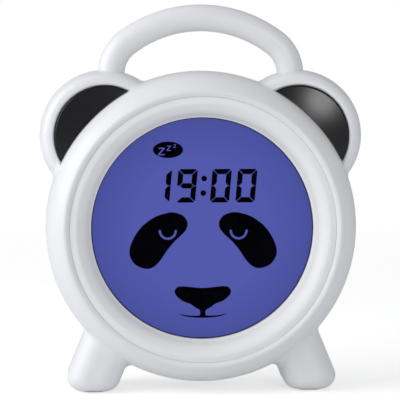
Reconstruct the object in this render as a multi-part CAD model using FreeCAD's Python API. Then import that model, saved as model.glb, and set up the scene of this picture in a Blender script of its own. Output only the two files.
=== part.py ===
import FreeCAD, Part
import os
from math import acos, asin, cos, degrees, hypot, radians, sin, tan

os.makedirs("parts", exist_ok=True)
vec = FreeCAD.Vector
front, back = vec(0, -1, 0), vec(0, 1, 0)

# All sizes in mm. The clock faces -Y. Shapes are drawn about the middle of the case and raised when saved.
case_height = 76.0          # middle of the case above the table
case_radius = 72.0
case_depth = 23.842         # parting plane to the front rim, and to the flat back
wall = 2.2
seat_gap = 0.3              # between pieces that drop into one another
slide_gap = 0.3             # round a button or the battery door
rim_radius = 2.0
dome_angle, shoulder_angle = 10.0, 58.0     # where the ball-shaped band and the shoulder end
junction_fillet = 3.5

ear_sunk, ear_angle = 10.8, 43.6            # ear middle inside the rim of the case, and its direction
ear_radius, ear_flank, ear_round = 30.2, 26.8, 4.6
ear_flank_angle = 20.0
recess_radius, recess_floor = 23.45, 9.6
insert_dome = 129.0                         # radius of the ball that the ear insert is part of

grip_x, grip_rise = 41.4, 1.5               # stems of the handle, and how far below the case's top they bend
grip_bend, grip_arch, grip_radius = 18.0, 57.0, 6.15

foot_width, foot_depth, foot_corner = 23.7, 34.0, 9.5
foot_splay, foot_offset, foot_round = 22.5, 19.75, 6.0
pad_width, pad_length, pad_thick, pad_proud = 10.6, 19.6, 2.0, 0.6
pad_shift = 2.76            # the level part of the sole lies this much nearer the middle than the leg's own line

rim_lip, groove_depth, groove_gap = 1.9, 0.9, 0.1
funnel_width, funnel_mouth_y = 9.55, -15.6
window_hold, window_y, window_thick = 3.8, -12.9, 1.5
panel_gap, glass_thick, film_thick = 0.25, 1.1, 0.25
box_wall, board_y, board_thick = 1.5, 0.2, 1.6
boss_radius, post_radius, well_radius, well_floor = 3.2, 3.0, 2.8, 8.0

cell_radius, cell_length, cell_pitch = 7.25, 50.5, 15.5
cell_gap = 0.35             # round a cell
bay_low, bay_wall, plate_thick = -38.2, 1.8, 0.5
spring_room, button_room = 3.1, 0.4         # between the contact plates and a cell's two ends
door_lap, tab_radius, tab_reach = 0.8, 4.6, 4.8
tongue_low, tongue_high, tongue_reach, tongue_thick = 9.6, 16.4, 4.2, 1.4

button_ring, button_radius, button_rim = 45.0, 5.2, 1.0
button_sunk, cap_edge, switch_travel = 0.1, 0.5, 1.0
button_angles = (40, 60, 80, 100, 120, 140)
slot_low, slot_high, slot_half, slot_sunk = 33.0, 147.0, 7.0, 1.0
key_board_depth = 11.84     # front of the key board below the back of the case
speaker_x, speaker_z, speaker_radius = -43.5, -8.0, 13.9
socket_x, socket_z, socket_board_depth = 43.5, -8.0, 11.44
lead_thick, ribbon_thick, ribbon_half = 1.0, 0.3, 14.0

steep, level = radians(dome_angle), radians(shoulder_angle)
dome_end = case_radius * sin(steep)
shoulder_radius = (case_depth - rim_radius * (1 - sin(level)) - dome_end) / (sin(level) - sin(steep))
rim_centre = case_radius * cos(steep) - shoulder_radius * (cos(steep) - cos(level)) - rim_radius * cos(level)
inner_back = case_depth - wall
inner_reach = case_radius - wall
outside = case_depth + 6

ear_x = (case_radius - ear_sunk) * cos(radians(ear_angle))
ear_z = (case_radius - ear_sunk) * sin(radians(ear_angle))
ear_lean = radians(ear_flank_angle)
ear_thick = ear_flank * sin(ear_lean) + ear_round * (1 - sin(ear_lean))
ear_crest = ear_radius - ear_flank * (1 - cos(ear_lean)) - ear_round * cos(ear_lean)

grip_z = case_radius - grip_rise
leg_x = foot_offset / cos(radians(foot_splay))
pad_x = leg_x + tan(radians(foot_splay)) * case_height - pad_shift

lip = rim_centre - rim_lip
groove_y = groove_depth - case_depth
funnel_mouth = lip - funnel_width
window_radius = funnel_mouth + window_hold
panel_y = window_y + window_thick + panel_gap + film_thick
panel_flat = window_radius - 0.9            # middle of the display glass to each of its eight sides
box_flat = panel_flat + box_wall + 0.4
boss_ring = box_flat + boss_radius + 0.6    # case screws, on the diagonals
post_ring = box_flat + post_radius + 3.8    # light box screws, on the axes
board_back = board_y + board_thick

bay_half = cell_pitch + cell_radius + 1.55
bay_floor = inner_back - 2 * (cell_radius + cell_gap)
bay_high = bay_low + 2 * plate_thick + spring_room + cell_length + button_room
bay_side = bay_half + bay_wall
cell_y = bay_floor + cell_gap + cell_radius
door_half, door_low, door_high = bay_half + 0.5, bay_low - wall / 2, bay_high + door_lap + slide_gap
latch_z, latch_front = bay_high + tab_reach, case_depth - 14.8

button_top = case_depth - button_sunk
flange_y = button_top - 4.54
key_board_y = case_depth - key_board_depth
key_board_back = key_board_y + board_thick
socket_board_y = case_depth - socket_board_depth
socket_board_back = socket_board_y + board_thick
speaker_front = inner_back - 6.24


def spot_on(radius, angle):
    return radius * cos(radians(angle)), radius * sin(radians(angle))


def outline(start, steps):
    # Face in the radius and depth plane. A step is the end of a line, or (radius, from, to) for an arc.
    x, y = start
    edges = []
    for step in steps:
        if len(step) == 2:
            end_x, end_y = step
            edges.append(Part.LineSegment(vec(x, y, 0), vec(end_x, end_y, 0)).toShape())
        else:
            radius, angle, end = (step[0], radians(step[1]), radians(step[2]))
            middle_x, middle_y = x - radius * cos(angle), y - radius * sin(angle)
            half = (angle + end) / 2
            over = vec(middle_x + radius * cos(half), middle_y + radius * sin(half), 0)
            end_x, end_y = middle_x + radius * cos(end), middle_y + radius * sin(end)
            edges.append(Part.Arc(vec(x, y, 0), over, vec(end_x, end_y, 0)).toShape())
        x, y = end_x, end_y
    if hypot(x - start[0], y - start[1]) > 1e-6:
        edges.append(Part.LineSegment(vec(x, y, 0), vec(start[0], start[1], 0)).toShape())
    return Part.Face(Part.Wire(edges))


def turned(face, x=0.0, z=0.0):
    # Solid of revolution about a line along Y through x and z.
    solid = face.revolve(vec(0, 0, 0), back, 360)
    solid.translate(vec(x, 0, z))
    return solid


def disc(radius, y_low, y_high, x=0.0, z=0.0):
    return Part.makeCylinder(radius, y_high - y_low, vec(x, y_low, z), back)


def ring(outer, inner, y_low, y_high, x=0.0, z=0.0):
    return disc(outer, y_low, y_high, x, z).cut(disc(inner, y_low - 1, y_high + 1, x, z))


def block(x_low, x_high, y_low, y_high, z_low, z_high):
    return Part.makeBox(x_high - x_low, y_high - y_low, z_high - z_low, vec(x_low, y_low, z_low))


def octagon(flat, y_low, y_high):
    corner = flat / cos(radians(22.5))
    corners = [spot_on(corner, 22.5 + 45 * i) for i in range(9)]
    return Part.Face(Part.makePolygon([vec(x, y_low, z) for x, z in corners])).extrude(vec(0, y_high - y_low, 0))


def spun(shape, angle):
    # Copy turned about the case's own axis, anticlockwise as seen from the front.
    copy = shape.copy()
    copy.rotate(vec(0, 0, 0), front, angle)
    return copy


def mirrored(shape):
    return shape.mirror(vec(0, 0, 0), vec(1, 0, 0))


def both_sides(shape):
    return [shape, mirrored(shape)]


def edge_middle(edge):
    return edge.valueAt((edge.FirstParameter + edge.LastParameter) / 2)


def save(name, *shapes):
    whole = shapes[0].copy() if len(shapes) == 1 else Part.makeCompound(list(shapes))
    whole.translate(vec(0, 0, case_height))
    whole.exportStep("parts/" + name + ".step")


# Outer form of one half of the housing
def drum_face():
    # The dome is part of a ball, and runs into a tighter shoulder and rim.
    dome = (case_radius, 0, -dome_angle)
    shoulder = (shoulder_radius, -dome_angle, -shoulder_angle)
    rim = (rim_radius, -shoulder_angle, -90)
    return outline((case_radius, 0), [dome, shoulder, rim, (0, -case_depth), (0, 0)])


def drum_inside():
    # Inside the shoulder the wall is drawn as two cones that meet halfway round it.
    halfway = (steep + level) / 2
    bend = shoulder_radius - wall
    bend_x = (case_radius - shoulder_radius) * cos(steep) + bend * cos(halfway)
    bend_y = (case_radius - shoulder_radius) * sin(steep) + bend * sin(halfway)
    return outline((inner_reach, 0), [(inner_reach * cos(steep), -inner_reach * sin(steep)), (bend_x, -bend_y),
                                      (rim_centre, -inner_back), (0, -inner_back), (0, 0)])


def drum_radius(y):
    # Outer radius of the dome, and a little more than that of the shoulder beyond it.
    return (case_radius ** 2 - y ** 2) ** 0.5


def leaves_drum(edge, slack):
    # Whether an edge in front of the parting plane lies on the drum, and is not the end of its dome.
    spot = edge_middle(edge)
    on_drum = abs(hypot(spot.x, spot.z) - drum_radius(spot.y)) < slack
    return on_drum and spot.y < -0.01 and abs(spot.y + dome_end) > 0.01


def ear_form():
    face = outline((ear_radius, 0), [(ear_flank, 0, -ear_flank_angle), (ear_round, -ear_flank_angle, -90),
                                     (0, -ear_thick), (0, 0)])
    form = turned(face)
    form.rotate(vec(0, 0, 0), back, -45)
    form.translate(vec(ear_x, 0, ear_z))
    return form


def foot_prism(skin, floor_z):
    # Rounded oblong leg, splayed from the case and cut level at floor_z.
    wide, deep, corner = foot_width / 2 - skin, foot_depth / 2 - skin, foot_corner - skin
    face = outline((wide, 0), [(wide, deep - corner), (corner, 0, 90), (corner - wide, deep), (corner, 90, 180),
                               (-wide, corner - deep), (corner, 180, 270), (wide - corner, -deep),
                               (corner, 270, 360)])
    leg = face.extrude(vec(0, 0, -case_height))
    leg.translate(vec(0, 0, -case_radius / 2))
    leg.rotate(vec(0, 0, 0), back, -foot_splay)
    leg.translate(vec(leg_x, 0, 0))
    return leg.cut(block(0, 2 * case_height, -foot_depth, foot_depth, floor_z - case_height, floor_z))


def front_part(shape):
    # What lies in front of the parting plane, low down and right of the middle.
    reach = 2 * case_height
    return shape.common(block(0, reach, -foot_depth, 0, -reach, 0))


def grip_half(radius, start_z):
    # Half rod of the carry handle, in front of the parting plane.
    turn = degrees(acos((grip_x - grip_bend) / (grip_arch - grip_bend)))
    low_z = grip_z - (grip_arch - grip_bend) * sin(radians(turn))
    face = outline((radius, 0), [(radius, 0, -180)])
    face.translate(vec(grip_x, 0, start_z))
    stem = face.extrude(vec(0, 0, grip_z - start_z))
    face.translate(vec(0, 0, grip_z - start_z))
    bend = face.revolve(vec(grip_x - grip_bend, 0, grip_z), front, turn)
    face.rotate(vec(grip_x - grip_bend, 0, grip_z), front, turn)
    arch = face.revolve(vec(0, 0, low_z), front, 2 * (90 - turn))
    return arch.multiFuse([part for side in (stem, bend) for part in both_sides(side)]).removeSplitter()


def housing_half():
    form = turned(drum_face()).fuse(both_sides(ear_form()))
    seams = []
    for edge in form.Edges:
        spot = edge_middle(edge)
        if leaves_drum(edge, 0.3) and hypot(abs(spot.x) - ear_x, spot.z - ear_z) < ear_radius + 0.1:
            seams.append(edge)
    form = form.makeFillet(junction_fillet, seams)
    sole_z = pad_proud - case_height
    leg = foot_prism(0, sole_z)
    sole = [edge for edge in leg.Edges if edge.BoundBox.ZMax < sole_z + 0.01]
    leg = front_part(leg.makeFillet(foot_round, sole))
    form = form.fuse(both_sides(leg))
    seams = []
    for edge in form.Edges:
        if leaves_drum(edge, 1.4) and edge_middle(edge).z < -case_radius / 2 and edge.Length < 2 * foot_depth:
            seams.append(edge)
    form = form.makeFillet(junction_fillet, seams)
    return form.fuse(grip_half(grip_radius, ear_z))


def rounded_pad(gap, height):
    # Oblong under a foot, inside the level part of its sole.
    wide, deep = pad_width / 2 + gap, pad_length / 2 + gap
    body = block(pad_x - wide, pad_x + wide, -deep, deep, -case_height, height - case_height)
    upright = [edge for edge in body.Edges if edge.BoundBox.ZLength > 1]
    return body.makeFillet(3.0 + gap, upright)


def hollow_half(ear_floor):
    # What is moulded hollow in a half: drum, ears, feet and the seats of the foot pads. The carry handle is solid.
    ear = disc(ear_radius - 3.6, -ear_floor, 0, ear_x, ear_z)
    leg = front_part(foot_prism(wall, wall + 1.0 + pad_proud - case_height))
    pad_seat = rounded_pad(0.2, pad_thick)
    return [turned(drum_inside())] + both_sides(ear) + both_sides(leg) + both_sides(pad_seat)


def sector(radius, half_width, low_angle, high_angle, y_low, y_high):
    # Curved slot about the case's axis with round ends.
    def at(reach, angle):
        return vec(reach * cos(radians(angle)), y_low, reach * sin(radians(angle)))

    def end(angle, lean):
        away = vec(-sin(radians(angle)), 0, cos(radians(angle))) * half_width * lean
        return at(radius, angle) + away

    outer, inner, centre = radius + half_width, radius - half_width, (low_angle + high_angle) / 2
    edges = [Part.Arc(at(outer, low_angle), at(outer, centre), at(outer, high_angle)).toShape(),
             Part.Arc(at(outer, high_angle), end(high_angle, 1), at(inner, high_angle)).toShape(),
             Part.Arc(at(inner, high_angle), at(inner, centre), at(inner, low_angle)).toShape(),
             Part.Arc(at(inner, low_angle), end(low_angle, -1), at(outer, low_angle)).toShape()]
    return Part.Face(Part.Wire(edges)).extrude(vec(0, y_high - y_low, 0))


def folded(points, thick, x_low, x_high):
    # Flat strip folded square along points in the depth and height plane.
    pieces, half_thick = [], thick / 2
    for (y, z), (next_y, next_z) in zip(points, points[1:]):
        low_y, high_y = min(y, next_y) - half_thick, max(y, next_y) + half_thick
        low_z, high_z = min(z, next_z) - half_thick, max(z, next_z) + half_thick
        pieces.append(block(x_low, x_high, low_y, high_y, low_z, high_z))
    return pieces[0].fuse(pieces[1:]).removeSplitter()


outer_form = turned(drum_face())
half = housing_half()

# Front shell: its rim falls to a shallow groove round the funnel
mouth = turned(outline((rim_centre, -case_depth), [(rim_centre - 0.6, 0.15 - case_depth), (lip, groove_y),
                                                   (lip, 2 - inner_back), (0, 2 - inner_back), (0, -outside),
                                                   (rim_centre, -outside)]))
recess_face = outline((ear_crest, -ear_thick), [
    (ear_crest - 0.4, 0.2 - ear_thick), (recess_radius, 0.9 - ear_thick), (recess_radius, -recess_floor),
    (0, -recess_floor), (0, -outside), (ear_crest, -outside)])
recess = turned(recess_face, ear_x, ear_z).cut(outer_form)
front_shell = half.cut(hollow_half(recess_floor - 2.0) + [mouth] + both_sides(recess))
flange_y_low = seat_gap + 1.0 - inner_back
post_front = flange_y_low + 3.1
rib_end = inner_reach - 1.3
case_boss = disc(boss_radius, window_y, 0, boss_ring).fuse(block(boss_ring, rib_end, window_y, -1, -1.2, 1.2))
tray_post = disc(post_radius, post_front, -3, post_ring).fuse(block(post_ring, rib_end, post_front, -4, -1.2, 1.2))
front_shell = front_shell.fuse([spun(case_boss, 45 + 90 * i) for i in range(4)]
                               + [spun(tray_post, 90 * i) for i in range(3)])
save("front_shell", front_shell)

# Rear shell
flip = vec(0, 1, 0)
rear_shell = half.mirror(vec(0, 0, 0), flip)
rear_shell = rear_shell.cut([shape.mirror(vec(0, 0, 0), flip) for shape in hollow_half(ear_thick - wall)])
well_boss = disc(well_radius + 1.8, well_floor - 2, inner_back + 0.5, boss_ring)
well_boss = well_boss.fuse(disc(boss_radius, 0, well_floor - 2, boss_ring))
bay = block(-bay_side, bay_side, bay_floor - 1.5, inner_back + 0.5, bay_low - 5.8, bay_high + bay_wall)
latch_boss = disc(3.6, latch_front, inner_back, 0, latch_z)
latch_boss = latch_boss.fuse(block(-3.6, 3.6, latch_front, inner_back, bay_high, latch_z))
button_pad = sector(button_ring, slot_half + 0.5, slot_low, slot_high, inner_back - 1.2, inner_back + 0.5)
key_spots = (spot_on(button_ring, 27), (0.0, button_ring + 4), spot_on(button_ring, 153))
key_posts = [disc(2.2, key_board_back, inner_back + 0.5, x, z) for x, z in key_spots]
socket_spots = ((socket_x - 7.2, socket_z - 4.2), (socket_x + 7.2, socket_z + 4.2))
socket_posts = [disc(2.0, socket_board_back, inner_back + 0.5, x, z) for x, z in socket_spots]
speaker_wall = ring(speaker_radius + 2.0, speaker_radius + 0.4, speaker_front - 0.4, inner_back + 0.5,
                    speaker_x, speaker_z)
rear_shell = rear_shell.fuse([spun(well_boss, 45 + 90 * i) for i in range(4)] + key_posts + socket_posts
                             + [bay, latch_boss, button_pad, speaker_wall])
pocket = block(-bay_half, bay_half, bay_floor, inner_back + 1, bay_low, bay_high)
opening = block(-door_half - slide_gap, door_half + slide_gap, inner_back, outside,
                door_low - slide_gap, door_high + slide_gap)
tab_gap = tab_radius + slide_gap
tab_opening = disc(tab_gap, inner_back, outside, 0, latch_z)
tab_opening = tab_opening.fuse(block(-tab_gap, tab_gap, inner_back, outside, door_high - 1, latch_z))
tongue_slot = block(tongue_low - 0.6, tongue_high + 0.6, inner_back - 4.45, inner_back,
                    bay_low - tongue_reach - 0.8, bay_low + 0.5)
button_slot = sector(button_ring, slot_half, slot_low, slot_high, case_depth - slot_sunk, outside)
latch_hole = disc(1.7, latch_front + 6, outside, 0, latch_z)
cuts = [pocket, opening, tab_opening, button_slot, latch_hole] + both_sides(tongue_slot)
cuts += [spun(disc(well_radius, well_floor, outside, boss_ring), 45 + 90 * i) for i in range(4)]
for angle in button_angles:
    cuts.append(disc(button_radius + slide_gap, flange_y - 1, outside, *spot_on(button_ring, angle)))
grille = [(0.0, 0.0)] + [spot_on(4.2, 60 * i) for i in range(6)] + [spot_on(8.2, 30 * i) for i in range(12)]
cuts += [disc(1.05, inner_back - 1, outside, speaker_x + x, speaker_z + z) for x, z in grille]
cuts.append(block(socket_x - 4.3, socket_x + 4.3, inner_back - 1, outside, socket_z - 1.9, socket_z + 1.9))
rear_shell = rear_shell.cut(cuts)
save("rear_shell", rear_shell)

# Ear inserts, domed, each in the recess of its ear
insert_radius = recess_radius - seat_gap
dome_reach = insert_radius - 0.75
dome_edge = degrees(asin(dome_reach / insert_dome))
dome_y = 0.55 - ear_thick
insert_face = outline((insert_radius, -recess_floor), [
    (insert_radius, dome_y + 0.9), (insert_radius - 0.25, dome_y + 0.3), (dome_reach, dome_y),
    (insert_dome, dome_edge - 90, -90), (0, -recess_floor)])
insert = turned(insert_face, ear_x, ear_z)
clearance_ball = case_radius + seat_gap
clear_of_drum = turned(outline((clearance_ball, 0), [(clearance_ball, 0, -20), (0, -case_depth), (0, 0)]))
insert = insert.cut(clear_of_drum)
save("ear_insert_right", insert)
save("ear_insert_left", mirrored(insert))

# Rubber pads under the feet
foot_pad = rounded_pad(0, pad_thick - 0.1)
save("foot_pad_right", foot_pad)
save("foot_pad_left", mirrored(foot_pad))

# Funnel round the display, held behind the rim: it swells from the display and dips into the groove
swell_radius, swell_angle = 9.0, 62.0
crest_radius, crest_angle, dip_angle = 2.5, 25.0, 11.0
funnel_edge = lip - groove_gap
crest_x, crest_hub_y = funnel_edge - 2.42, groove_y - 0.32 + crest_radius
dip_x = crest_x + crest_radius * sin(radians(dip_angle))
dip_y = crest_hub_y - crest_radius * cos(radians(dip_angle))
frame_radius, flange_radius = window_radius + 2.1, rim_centre - seat_gap
funnel_face = outline((funnel_edge, -inner_back), [
    (funnel_edge, groove_y + 0.05), (dip_x, dip_y), (crest_radius, dip_angle - 90, -90 - crest_angle),
    (swell_radius, -90 - crest_angle, -90 - swell_angle), (funnel_mouth + 0.35, funnel_mouth_y - 0.35),
    (funnel_mouth, funnel_mouth_y), (funnel_mouth, window_y - seat_gap), (frame_radius, window_y - seat_gap),
    (frame_radius, window_y - 3.9), (flange_radius, flange_y_low), (flange_radius, -inner_back)])
save("display_funnel", turned(funnel_face))
save("window_gasket", ring(window_radius - 0.1, funnel_mouth - 0.47, window_y - seat_gap, window_y))
save("display_window", disc(window_radius, window_y, window_y + window_thick))

# Liquid crystal panel: two glasses between polarisers, the rear glass longer at the foot for its contacts
glass_middle, glass_back = panel_y + glass_thick, panel_y + 2 * glass_thick
film_flat = panel_flat - 0.4
ledge = block(-case_radius, case_radius, -case_depth, 0, -case_radius, 3.3 - panel_flat)
save("lcd_front_polariser", octagon(film_flat, panel_y - film_thick, panel_y).cut(ledge))
save("lcd_front_glass", octagon(panel_flat, panel_y, glass_middle).cut(ledge))
save("lcd_rear_glass", octagon(panel_flat, glass_middle, glass_back))
save("lcd_rear_polariser", octagon(film_flat, glass_back, glass_back + film_thick).cut(ledge))

# Light box behind the panel
tray_front = window_y + window_thick
diffuser_y = glass_back + film_thick + 0.15
diffuser_back = diffuser_y + 1.2
lamp_ring, lamp_half, lamp_deep = 34.0, 2.5, 1.4
lamp_hole = lamp_half + 0.6
light_ring = [spot_on(lamp_ring, 22.5 + 45 * i) for i in range(8)]
light_holes = [block(x - lamp_hole, x + lamp_hole, -2, 1, z - lamp_hole, z + lamp_hole)
               for x, z in light_ring]
ribbon_way = block(-ribbon_half - 1.5, ribbon_half + 1.5, tray_front - 1, 3, -case_radius, 2.4 - box_flat)
box_inside = box_flat - box_wall
tray = octagon(box_flat, tray_front, 0)
tray = tray.cut([octagon(box_inside, tray_front - 1, diffuser_y - 0.1),
                 octagon(box_inside - 0.6, diffuser_y - 0.2, diffuser_back + 0.1),
                 octagon(box_inside - 2.6, diffuser_back - 0.4, -1.2), ribbon_way])
tab = block(box_flat - 1.7, post_ring + post_radius, -3, -1.4, -3.2, 3.2)
tray = tray.fuse([spun(tab, 90 * i) for i in range(3)]).cut(light_holes)
save("light_box", tray)
save("light_diffuser", octagon(film_flat, diffuser_y, diffuser_back))

# Main board, with its tall parts clear of the battery bay
save("main_board", octagon(box_flat - 0.7, board_y, board_back).cut(ribbon_way))
lamps = [block(x - lamp_half, x + lamp_half, board_y - lamp_deep, board_y, z - lamp_half, z + lamp_half)
         for x, z in light_ring]
save("night_light_leds", *lamps)
save("clock_chip", block(-5, 5, board_back, board_back + 1.4, 36, 46))
save("clock_crystal", block(-16, -8, board_back, board_back + 2.6, 38, 41.2))
capacitor_spots = ((-32, 33), (-40, 27))
save("main_capacitors", *[disc(3.15, board_back, board_back + 7, x, z) for x, z in capacitor_spots])


def plug(x_low, x_high, z_low, z_high):
    body = block(x_low, x_high, board_back, board_back + 4.5, z_low, z_high)
    x_low, x_high, z_low, z_high = x_low + 0.8, x_high - 0.8, z_low + 0.8, z_high - 0.8
    return body.cut(block(x_low, x_high, board_back + 1.4, board_back + 5, z_low, z_high))


save("lead_sockets", plug(31, 38, -34, -29), plug(-38, -31, -34, -29), plug(44, 49, -12, -5),
     plug(18, 29, 34, 39))

# Ribbon from the panel's contacts round the foot of the light box to the main board
ribbon_y, ribbon_z = glass_middle - ribbon_thick / 2, 1.4 - box_flat
ribbon_end_y = board_back + ribbon_thick / 2
save("panel_ribbon", folded(((ribbon_y, 2.8 - panel_flat), (ribbon_y, ribbon_z), (ribbon_end_y, ribbon_z),
                             (ribbon_end_y, ribbon_z + 8.3)), ribbon_thick, -ribbon_half, ribbon_half))

# Keys on the back: caps, switches and their board
save("key_board", sector(button_ring, slot_half, slot_low - 6, slot_high + 6, key_board_y, key_board_back))
flange_back = flange_y + 1.0
names = ("mode", "down", "alarm", "light", "up", "set")
switches = []
for name, angle in zip(names, button_angles):
    x, z = spot_on(button_ring, angle)
    cap = outline((button_radius, button_top - cap_edge), [
        (button_radius - cap_edge, button_top), (0, button_top), (0, flange_y),
        (button_radius + button_rim, flange_y), (button_radius + button_rim, flange_back),
        (button_radius, flange_back)])
    save("button_" + name, turned(cap, x, z))
    housing = block(x - 3, x + 3, key_board_back, key_board_back + 3.4, z - 3, z + 3)
    plunger = block(x - 1.2, x + 1.2, key_board_back + 3.4, flange_y - switch_travel, z - 1.2, z + 1.2)
    switches.append(housing.fuse(plunger))
save("key_switches", *switches)

# Speaker behind the grille
film_radius = speaker_radius - 1.5
basket = disc(speaker_radius, speaker_front, inner_back, speaker_x, speaker_z)
save("speaker_frame", basket.cut(disc(film_radius, speaker_front + 1, outside, speaker_x, speaker_z)))
save("speaker_magnet", disc(8.0, speaker_front - 4.2, speaker_front, speaker_x, speaker_z))
save("speaker_film", disc(film_radius, inner_back - 1.24, inner_back - 0.94, speaker_x, speaker_z))

# Supply socket on its own small board
save("socket_board", block(socket_x - 10, socket_x + 10, socket_board_y, socket_board_back,
                           socket_z - 7, socket_z + 7))
shell_wide, shell_tall, shell_skin = 3.9, 1.5, 0.3
shell = block(socket_x - shell_wide, socket_x + shell_wide, socket_board_back, case_depth - 0.54,
              socket_z - shell_tall, socket_z + shell_tall)
shell = shell.makeFillet(0.9, [edge for edge in shell.Edges if edge.BoundBox.YLength > 5])
hollow_wide, hollow_tall = shell_wide - shell_skin, shell_tall - shell_skin
hollow = block(socket_x - hollow_wide, socket_x + hollow_wide, socket_board_back + 0.8, outside,
               socket_z - hollow_tall, socket_z + hollow_tall)
hollow = hollow.makeFillet(0.9 - shell_skin, [edge for edge in hollow.Edges if edge.BoundBox.YLength > 5])
save("supply_socket", shell.cut(hollow))
save("supply_socket_tongue", block(socket_x - 2.2, socket_x + 2.2, socket_board_back + 0.8, case_depth - 2.04,
                                   socket_z - 0.35, socket_z + 0.35))

# Battery door: tongues under its lower edge, a tab with a held screw at the top
# The lower edge is round about the line that the door tilts on
edge_round = wall / 2
head_radius, head_y, shank_radius = 2.7, case_depth - 1.29, 1.15
door = block(-door_half, door_half, inner_back, case_depth, door_low + edge_round, door_high)
tilt_line = vec(-door_half, case_depth - edge_round, door_low + edge_round)
door_edge = Part.makeCylinder(edge_round, 2 * door_half, tilt_line, vec(1, 0, 0))
door = door.fuse([door_edge, disc(tab_radius, inner_back, case_depth, 0, latch_z),
                  block(-tab_radius, tab_radius, inner_back, case_depth, door_high - 1, latch_z)])
tongue_y, tongue_root = inner_back - 1.74, bay_low + 1.0
tongue = block(tongue_low, tongue_high, tongue_y, tongue_y + tongue_thick, bay_low - tongue_reach, tongue_root)
tongue = tongue.fuse(block(tongue_low, tongue_high, tongue_y, inner_back, bay_low, tongue_root))
door = door.fuse(both_sides(tongue))
door = door.cut([disc(shank_radius + 0.15, inner_back - 1, outside, 0, latch_z),
                 disc(head_radius + 0.2, head_y, outside, 0, latch_z)])
save("battery_door", door)
screw_head = disc(head_radius, head_y, case_depth - 0.19, 0, latch_z)
save("battery_door_screw", screw_head.fuse(disc(shank_radius, inner_back - 3.64, head_y, 0, latch_z)))


# Three cells side by side, in series, so the middle one stands the other way up
def cell():
    # Upright cell with its flat end at nought.
    can, collar, button = cell_length - 1.6, cell_length - 1.0, 2.75
    crimp = cell_radius - 0.65
    jacket = outline((cell_radius, 0.5), [(cell_radius, can), (crimp, collar), (button, collar),
                                          (button, cell_length), (0, cell_length), (0, 0), (crimp, 0)])
    body = turned(jacket)
    body.rotate(vec(0, 0, 0), vec(1, 0, 0), 90)
    return body


cell_xs = (-cell_pitch, 0.0, cell_pitch)
plate_low, plate_high = bay_low + plate_thick, bay_high - plate_thick
coil_low, coil_high = 4.6, 2.8
plates, springs = [], []
for i, x in enumerate(cell_xs):
    body = cell()
    if i == 1:
        body.rotate(vec(0, 0, 0), vec(1, 0, 0), 180)
        body.translate(vec(x, cell_y, plate_high - spring_room))
        springs.append(Part.makeCone(coil_high, coil_low, spring_room,
                                     vec(x, cell_y, plate_high - spring_room)))
    else:
        body.translate(vec(x, cell_y, plate_low + spring_room))
        springs.append(Part.makeCone(coil_low, coil_high, spring_room, vec(x, cell_y, plate_low)))
    save("cell_%d" % (i + 1), body)
    plates.append(block(x - 6, x + 6, bay_floor + 1, inner_back - 1.14, plate_high, bay_high))
    plates.append(block(x - 6, x + 6, bay_floor + 1, inner_back - 4.14, bay_low, plate_low))
save("battery_plates", *plates)
save("battery_springs", *springs)

# Leads inside the case, folded flat
lead_y, lead_run = board_back + 2, board_back + 7.2
battery_lead = folded(((lead_y, -31.5), (lead_run, -31.5), (lead_run, -20.0)), lead_thick, 32.2, 34.7)
save("battery_lead", battery_lead.fuse(block(bay_side, 34.7, lead_run - lead_thick / 2,
                                             lead_run + lead_thick / 2, -20.5, -18.0)))
save("speaker_lead", folded(((lead_y, -31.5), (lead_run, -31.5), (lead_run, -12.0),
                             (speaker_front - lead_thick / 2, -12.0)), lead_thick, -36, -33))
save("socket_lead", folded(((lead_y, -10.0), (lead_run - 1, -10.0), (lead_run - 1, -6.0),
                            (socket_board_y - lead_thick / 2, -6.0)), lead_thick, 45.2, 47.8))
key_thick = 0.6
save("key_lead", folded(((lead_y - 0.2, 36.5), (lead_run, 36.5), (lead_run, 42.0),
                         (key_board_y - key_thick / 2, 42.0)), key_thick, 19.5, 27.5))
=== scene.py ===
import math

import bmesh
import bpy
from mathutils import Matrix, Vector
from mathutils.geometry import tessellate_polygon


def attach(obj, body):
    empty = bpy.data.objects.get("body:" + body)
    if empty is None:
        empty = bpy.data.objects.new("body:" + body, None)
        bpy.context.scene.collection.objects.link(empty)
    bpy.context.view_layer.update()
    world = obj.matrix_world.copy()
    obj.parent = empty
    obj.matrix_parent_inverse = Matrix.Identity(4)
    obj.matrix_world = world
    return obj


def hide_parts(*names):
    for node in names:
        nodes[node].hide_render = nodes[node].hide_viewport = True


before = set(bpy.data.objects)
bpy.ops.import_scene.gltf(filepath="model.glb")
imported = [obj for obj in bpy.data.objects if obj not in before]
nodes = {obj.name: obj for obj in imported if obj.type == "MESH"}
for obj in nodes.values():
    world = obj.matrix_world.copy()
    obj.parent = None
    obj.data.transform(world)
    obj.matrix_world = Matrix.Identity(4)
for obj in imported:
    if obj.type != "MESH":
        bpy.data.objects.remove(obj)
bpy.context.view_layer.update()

mm = .001
caseHeight = 76      # middle of the case above the table, mm
print("frame loaded:", len(nodes), "nodes")


def place(x, y, z):
    # millimetres from the middle of the case, to metres above the table
    return Vector((x * mm, y * mm, (z + caseHeight) * mm))


def newPiece(name, mesh, material, body="housing"):
    obj = bpy.data.objects.new(name, mesh)
    bpy.context.scene.collection.objects.link(obj)
    mesh.materials.clear()
    mesh.materials.append(material)
    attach(obj, body)
    return obj


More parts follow.
